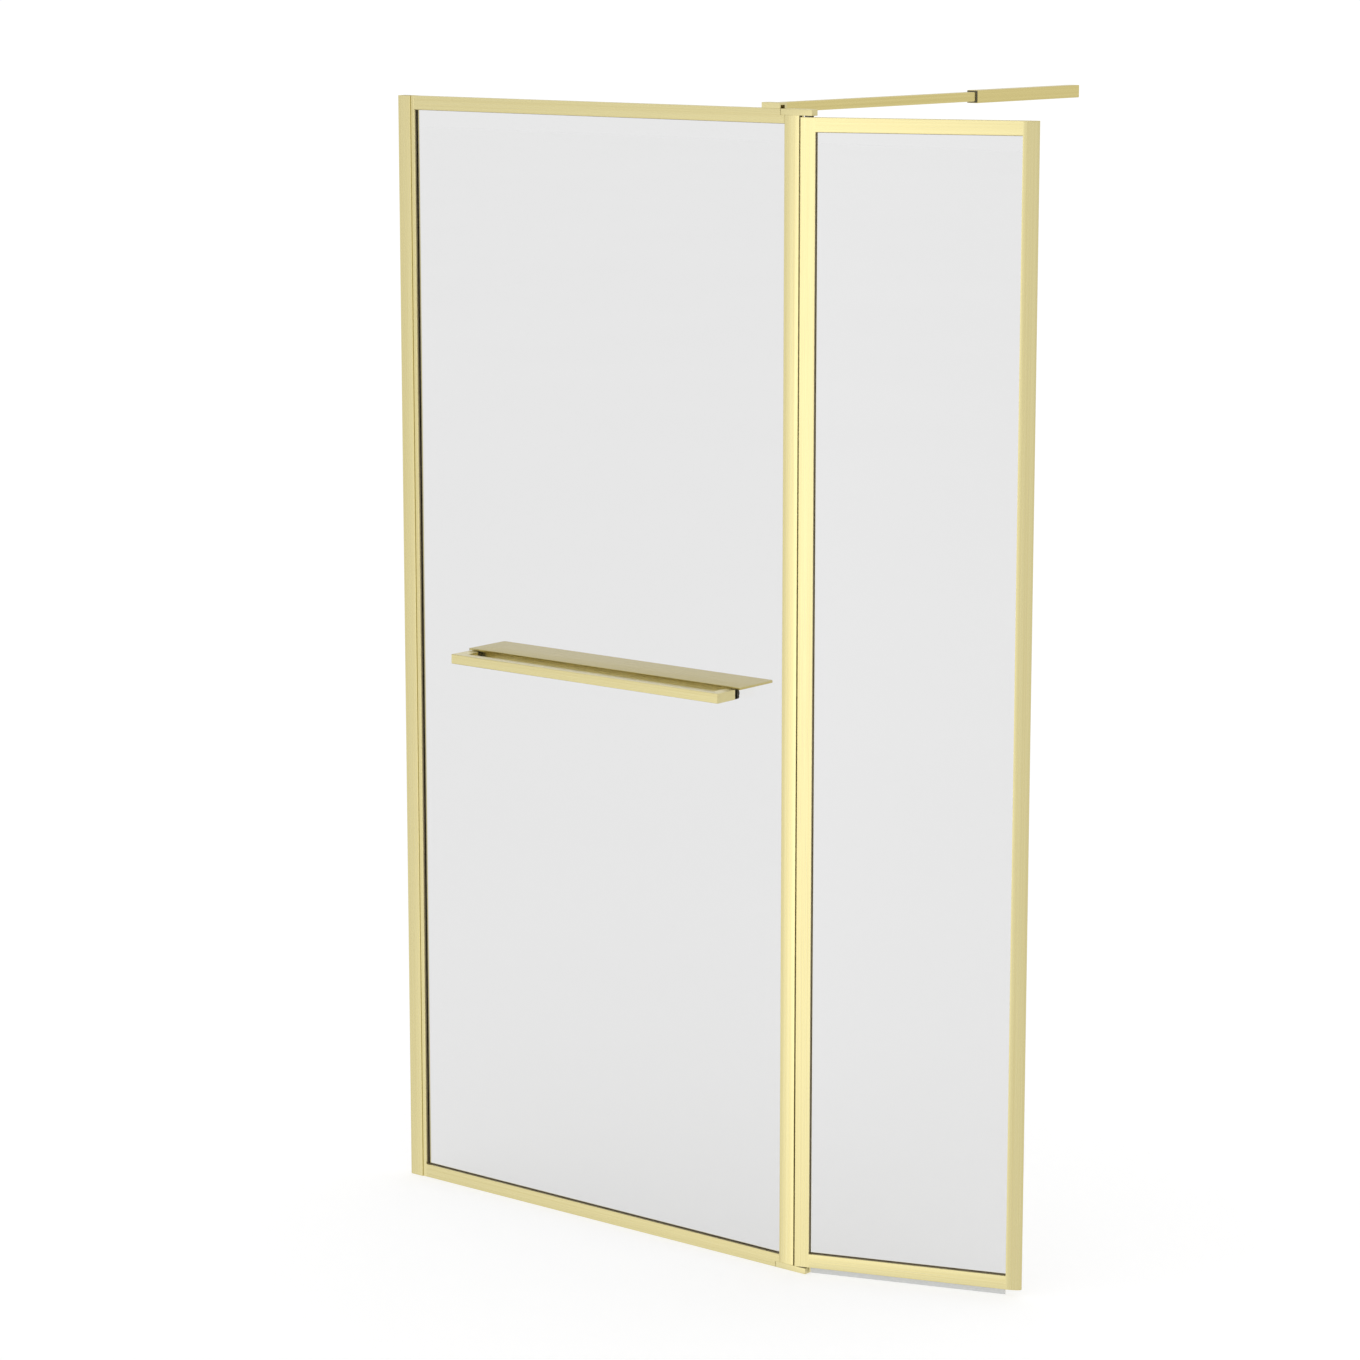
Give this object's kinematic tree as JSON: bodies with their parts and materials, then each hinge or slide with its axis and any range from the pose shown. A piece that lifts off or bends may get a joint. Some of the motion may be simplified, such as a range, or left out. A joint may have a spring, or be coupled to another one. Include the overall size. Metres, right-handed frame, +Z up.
{
  "type": "walk-in shower screen",
  "caption": "Walk-in shower screen: framed fixed glass panel with a towel bar and shelf, a pivoting end panel and a telescopic brace to the far wall.",
  "frame": {"origin": "on the wall face, at tray level, in the middle plane of the fixed glass", "axes": "+X along the fixed panel away from its wall, +Y into the shower, +Z up"},
  "size_m": [1.2835, 0.945, 2.012],
  "materials": {
    "gold_profile": "satin pale gold anodised",
    "gold_casting": "satin pale gold",
    "clear_glass": "clear toughened glass",
    "black_rubber": "matt",
    "dark_nylon": "matt",
    "zinc": "as cast",
    "steel": "plain stainless",
    "seal_vinyl": "translucent grey",
    "brush_pile": "dense short pile"
  },
  "bodies": {
    "wall_side": {"wall_profile": "gold_profile"},
    "fixed_panel": {"wall_stile": "gold_profile", "adjuster_screws": "steel", "adjuster_caps": "gold_casting", "top_rail": "gold_profile", "bottom_rail": "gold_profile", "corner_post": "gold_profile", "fixed_glass": "clear_glass", "wall_side_gasket": "black_rubber", "post_gasket": "black_rubber", "top_rail_gasket": "black_rubber", "bottom_rail_gasket": "black_rubber", "corner_screws": "steel", "upper_pivot_bracket": "gold_casting", "lower_pivot_bracket": "gold_casting", "bracket_screws": "steel", "upper_bush": "dark_nylon", "lower_bush": "dark_nylon", "post_seal": "brush_pile", "brace_clamp": "gold_casting", "clamp_screws": "steel", "brace_inner_bar": "gold_profile", "bar_grub_screw": "steel", "bar_end_plug": "dark_nylon", "towel_bar": "gold_profile", "towel_bar_washers": "black_rubber", "glass_sleeves": "dark_nylon", "shelf_pads": "black_rubber", "shelf_plate": "gold_profile", "shelf_bolts": "steel"},
    "brace_tube": {"brace_outer_tube": "gold_profile", "brace_collar": "dark_nylon", "brace_lock_screw": "steel", "brace_wall_socket": "gold_casting", "socket_screw": "steel"},
    "pivot_panel": {"hinge_stile": "gold_profile", "closing_stile": "gold_profile", "pivot_top_rail": "gold_profile", "pivot_bottom_rail": "gold_profile", "pivot_glass": "clear_glass", "hinge_side_gasket": "black_rubber", "closing_side_gasket": "black_rubber", "pivot_top_gasket": "black_rubber", "pivot_bottom_gasket": "black_rubber", "upper_pivot_block": "zinc", "lower_pivot_block": "zinc", "upper_pivot_pin": "steel", "lower_pivot_pin": "steel", "upper_corner_cleat": "zinc", "lower_corner_cleat": "zinc", "pivot_frame_screws": "steel", "closing_stile_caps": "gold_casting", "bottom_seal": "seal_vinyl"}
  },
  "joints": [
    {"name": "wall_adjustment", "type": "slide", "parent": "wall_side", "child": "fixed_panel", "axis": [1, 0, 0], "range_m": [-0.007, 0.006]},
    {"name": "pivot_hinge", "type": "hinge", "parent": "fixed_panel", "child": "pivot_panel", "pos_m": [0.916, 0, 1], "axis": [0, 0, 1], "range_deg": [-109.9, 70.1]},
    {"name": "brace_slide", "type": "slide", "parent": "fixed_panel", "child": "brace_tube", "axis": [0, 1, 0], "range_m": [-0.085, 0.155]}
  ]
}
